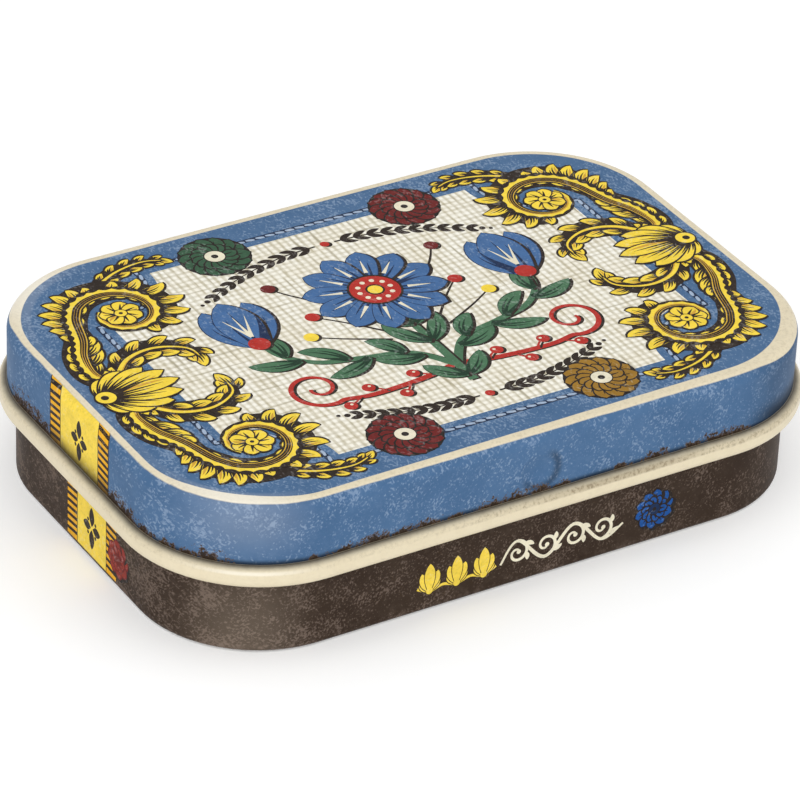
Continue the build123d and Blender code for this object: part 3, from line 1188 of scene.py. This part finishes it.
# What is printed on the short sides, in mm
sideLook = {
    # Each side, its sign along X, and how far round the top edge its ribbon goes, in degrees, before it
    # ends under the cream band
    "sides": (("left", -1, 70), ("right", 1, 30)),
    "lidRibbon": {"left": -4.35, "right": 5.35, "motif": 10.9, "size": 0.95},
    "baseRibbon": {"low": 0.55, "high": 7.6, "left": -2.8, "right": 5.5, "motif": 3.1},
    "flower": ((5.7, 2.8), 1.6, 8),     # its middle, radius and petals
    "lean": 1.4,            # of the ribbon as it goes round the top edge
    "lift": 0.006,          # of the lowest ink over the sheet, more than where the sheet is flat
    "lanes": 6,
}


def ontoTop(u, v, rise):
    return Vector((u, v, tin["top"] + rise))


def ontoFrontBase(u, v, rise):
    return Vector((u, -tin["baseHalfWidth"] - rise, v))


def ontoLidSide(sign):
    # A short side of the lid, and round its top edge, where the print leans towards the middle
    edge, lean = tin["topEdge"], sideLook["lean"]
    bend = tin["top"] - edge

    def onto(u, v, rise):
        way = max(v - bend, 0.0) / edge
        inward = edge * (1 - math.cos(way))
        level = min(v, bend) + (edge + rise) * math.sin(way)
        out = tin["halfLength"] - inward + rise * math.cos(way)
        return Vector((sign * out, sign * (u - lean * inward), level))
    return onto


def ontoBaseSide(sign):
    return lambda u, v, rise: Vector((sign * (tin["baseHalfLength"] + rise), sign * u, v))


def printAll():
    top = Print("lid_top", "lid", ontoTop)
    drawTop(top)
    top.build()
    print("top print done, levels", max(top.levels.values()))
    for side, sign, angle in sideLook["sides"]:
        lidSide = Print(f"lid_{side}", "lid", ontoLidSide(sign), sideLook["lift"], sideLook["lanes"])
        bandLow = tin["top"] - tin["topEdge"] * (1 - math.radians(angle))
        drawRibbon(lidSide, tin["curlTop"] + 0.02, bandLow, **sideLook["lidRibbon"])
        lidSide.build()
        baseSide = Print(f"base_{side}", "base", ontoBaseSide(sign))
        drawRibbon(baseSide, **sideLook["baseRibbon"])
        flower(baseSide, *sideLook["flower"], "brick", "maroon", "maroon", shadow="black", rings=2)
        baseSide.build()
    front = Print("base_front", "base", ontoFrontBase)
    drawSprigs(front)
    drawRunningScroll(front)
    flower(front, *frontLook["flower"], "royal", "black", "navy", shadow="black", rings=2)
    front.build()
    print("side prints done")


printAll()


# Camera, floor and light
view = {
    "turn": -32.0691,       # degrees, to the left of the front
    "height": 32.0574,
    "roll": 2.4543,
    "place": (-174.2809, -278.0080, 211.3346),
    "lens": 217.4535,
    "sensor": 36.0,
}


def wayTo(turn, height):
    # The way from the part to what stands at these angles, in radians
    return Vector((math.sin(turn) * math.cos(height), -math.cos(turn) * math.cos(height), math.sin(height)))


def addCamera():
    turn, height, roll = (math.radians(view[name]) for name in ("turn", "height", "roll"))
    back = wayTo(turn, height)
    right = Vector((math.cos(turn), math.sin(turn), 0.0))
    up = back.cross(right)
    axes = Matrix((right * math.cos(roll) + up * math.sin(roll),
                   up * math.cos(roll) - right * math.sin(roll), back)).transposed()
    data = bpy.data.cameras.new("camera")
    data.lens = view["lens"]
    data.sensor_width = view["sensor"]
    data.clip_start = 0.01
    camera = addObject("camera", data)
    camera.matrix_world = Matrix.Translation(Vector(view["place"]) * mm) @ axes.to_4x4()
    bpy.context.scene.camera = camera


light = {
    "wall": 0.8,            # the room's own colour
    "around": 0.98,         # how strongly it lights the part
    "floor": 0.90,          # the floor's own colour
    "floorLift": 0.20,      # what the camera sees of it besides
    # Each softbox: where it stands from the part in degrees, its distance and sizes in mm, and its share
    "softboxes": (
        {"turn": -32, "rise": 17, "away": 620, "size": (300, 420), "share": 0.30},
        {"turn": -75, "rise": 62, "away": 700, "size": (520, 520), "share": 0.11},
        {"turn": 60, "rise": 55, "away": 700, "size": (520, 520), "share": 0.11},
    ),
}


def grey(value):
    return (value, value, value, 1.0)


def raySwitch(nodes, first, *others):
    # 1 for the named kinds of ray and 0 for the rest
    found = nodes.node("ShaderNodeLightPath", out=first)
    for name in others:
        found = found.most(nodes.node("ShaderNodeLightPath", out=name))
    return found


def addRoom():
    room = Nodes(bpy.data.worlds.new("room"))
    bpy.context.scene.world = room.owner
    seen = raySwitch(room, "Is Camera Ray", "Is Glossy Ray", "Is Transmission Ray")
    strength = room.node("ShaderNodeMapRange", values={
        "Value": seen, "To Min": light["around"], "To Max": 1.0})
    glow = room.node("ShaderNodeBackground", values={"Color": grey(light["wall"]), "Strength": strength})
    room.node("ShaderNodeOutputWorld", values={"Surface": glow})


def addSoftboxes():
    for number, box in enumerate(light["softboxes"]):
        distance = box["away"] * mm
        data = bpy.data.lights.new(f"softbox{number}", "AREA")
        data.shape = "RECTANGLE"
        data.size, data.size_y = (side * mm for side in box["size"])
        # A share of 1 lights a surface that faces it as much as a white room does
        data.energy = box["share"] * (math.pi * distance) ** 2
        lamp = addObject(data.name, data)
        lamp.location = wayTo(math.radians(box["turn"]), math.radians(box["rise"])) * distance
        lamp.rotation_euler = (-lamp.location).to_track_quat("-Z", "Y").to_euler()


def addFloor():
    reach, under = 3.0, -0.02 * mm
    mesh = bpy.data.meshes.new("floor")
    corners = [(-reach, -reach), (reach, -reach), (reach, reach), (-reach, reach)]
    mesh.from_pydata([(x, y, under) for x, y in corners], [], [(0, 1, 2, 3)])
    floor = addObject("floor", mesh)
    pale = Nodes(bpy.data.materials.new("paleFloor"))
    matte = pale.node("ShaderNodeBsdfDiffuse", values={"Color": grey(light["floor"])})
    lift = raySwitch(pale, "Is Camera Ray", "Is Glossy Ray") * light["floorLift"]
    glow = pale.node("ShaderNodeEmission", values={"Strength": lift})
    both = pale.node("ShaderNodeAddShader", values={0: matte, 1: glow})
    pale.node("ShaderNodeOutputMaterial", values={"Surface": both})
    mesh.materials.append(pale.owner)


addCamera()
addRoom()
addSoftboxes()
addFloor()
bpy.context.scene.view_settings.view_transform = "Standard"
print("camera, light and floor done")
